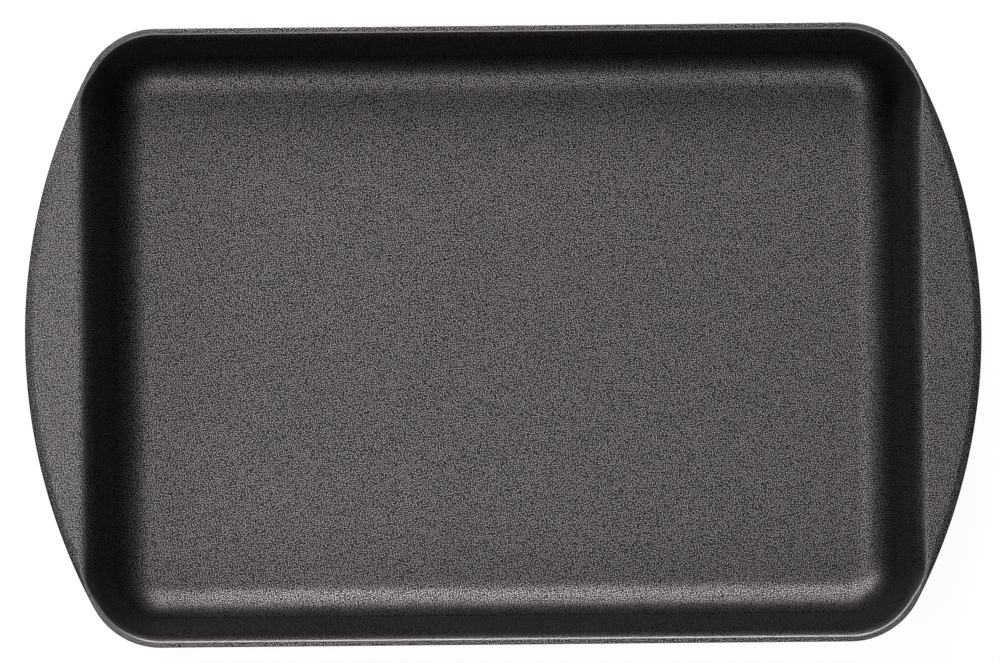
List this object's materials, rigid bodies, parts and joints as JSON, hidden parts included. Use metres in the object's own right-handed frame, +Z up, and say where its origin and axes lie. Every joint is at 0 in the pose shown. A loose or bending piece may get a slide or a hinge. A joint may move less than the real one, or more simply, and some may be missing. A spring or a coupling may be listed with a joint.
{
  "type": "baking dish",
  "caption": "Deep rectangular baking dish, cast with drafted walls, round corners, a large inside fillet and a flat crescent handle level with the rim at each end, non-stick coated.",
  "frame": {"origin": "centre of the base, on the surface that the dish stands on", "axes": "+X along the dish from the left handle to the right one, +Y across it, +Z up out of the dish"},
  "size_m": [0.34, 0.22, 0.06],
  "materials": {
    "casting": "cast aluminium under a thin dark grey coat, satin with a fine orange peel",
    "coating": "sprayed and baked non-stick coat, dark warm grey, satin with a fine speckle and orange peel"
  },
  "bodies": {
    "root": {"base_plate": "casting", "bottom_curve": "casting", "side_walls": "casting", "rim_band": "casting", "left_handle": "casting", "right_handle": "casting", "nonstick_coating": "coating"}
  },
  "joints": []
}
